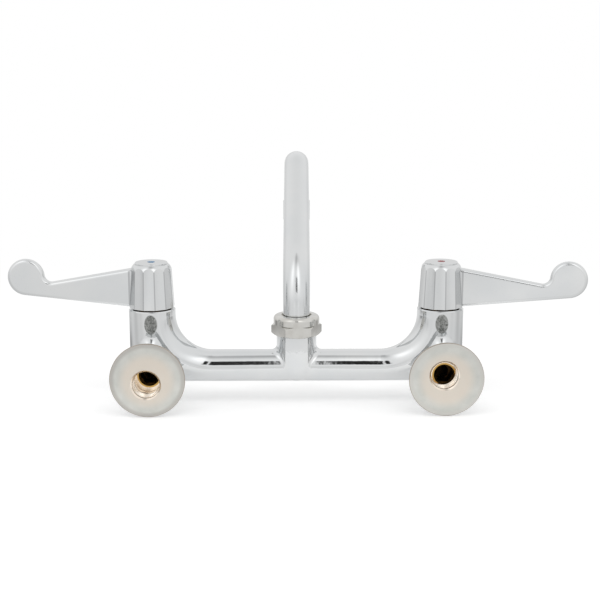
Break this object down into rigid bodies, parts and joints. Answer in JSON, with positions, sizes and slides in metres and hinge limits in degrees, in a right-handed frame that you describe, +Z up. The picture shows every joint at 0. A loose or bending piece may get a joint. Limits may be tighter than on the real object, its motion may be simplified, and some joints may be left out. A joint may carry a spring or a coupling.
{
  "type": "commercial wall mixing faucet",
  "caption": "Wall-mounted mixing faucet with a swinging bent-tube spout, wrist-blade handles over ceramic cartridges and eccentric wall flanges.",
  "frame": {"origin": "on the wall face, midway between the two inlet legs, level with the body tube's axis", "axes": "+Z up, +Y into the wall, +X towards the cold side; the user stands at -Y"},
  "size_m": [0.4031, 0.2044, 0.1682],
  "materials": {
    "chrome": "polished chrome plate on brass",
    "plated_flange": "dull plated back, polished cone",
    "nickel": "warm satin nickel plate",
    "brass": "machined brass",
    "steel": "stainless steel",
    "ceramic": "lapped white ceramic",
    "acetal": "white acetal",
    "rubber": "black rubber",
    "fibre": "red-brown fibre",
    "blue_dot": "blue enamel",
    "red_dot": "red enamel"
  },
  "bodies": {
    "body": {"body_casting": "chrome", "inlet_flange_cold": "plated_flange", "flange_gasket_cold": "fibre", "hexagon_nipple_cold": "brass", "seat_seal_cold": "rubber", "fixed_disc_cold": "ceramic", "cartridge_body_cold": "brass", "cartridge_ring_cold": "rubber", "bonnet_nut_cold": "brass", "inlet_flange_hot": "plated_flange", "flange_gasket_hot": "fibre", "hexagon_nipple_hot": "brass", "seat_seal_hot": "rubber", "fixed_disc_hot": "ceramic", "cartridge_body_hot": "brass", "cartridge_ring_hot": "rubber", "bonnet_nut_hot": "brass", "swivel_nut": "nickel", "slip_washer": "acetal"},
    "handle_cold": {"handle_cold": "chrome", "handle_screw_cold": "steel", "index_cap_cold": "chrome", "index_dot_cold": "blue_dot", "stem_cold": "brass", "stem_ring_cold": "rubber", "moving_disc_cold": "ceramic"},
    "handle_hot": {"handle_hot": "chrome", "handle_screw_hot": "steel", "index_cap_hot": "chrome", "index_dot_hot": "red_dot", "stem_hot": "brass", "stem_ring_hot": "rubber", "moving_disc_hot": "ceramic"},
    "spout": {"spout_tube": "chrome", "spout_sleeve": "brass", "spout_rings": "rubber", "aerator_housing": "chrome", "aerator_screen": "steel", "aerator_insert": "acetal", "aerator_washer": "rubber"}
  },
  "joints": [
    {"name": "handle_cold_turn", "type": "hinge", "parent": "body", "child": "handle_cold", "pos_m": [0.1016, -0.041, 0], "axis": [0, 0, -1], "range_deg": [0, 90]},
    {"name": "handle_hot_turn", "type": "hinge", "parent": "body", "child": "handle_hot", "pos_m": [-0.1016, -0.041, 0], "axis": [0, 0, 1], "range_deg": [0, 90]},
    {"name": "spout_swivel", "type": "hinge", "parent": "body", "child": "spout", "pos_m": [0, -0.041, 0], "axis": [0, 0, 1], "range_deg": [-100, 100]}
  ]
}
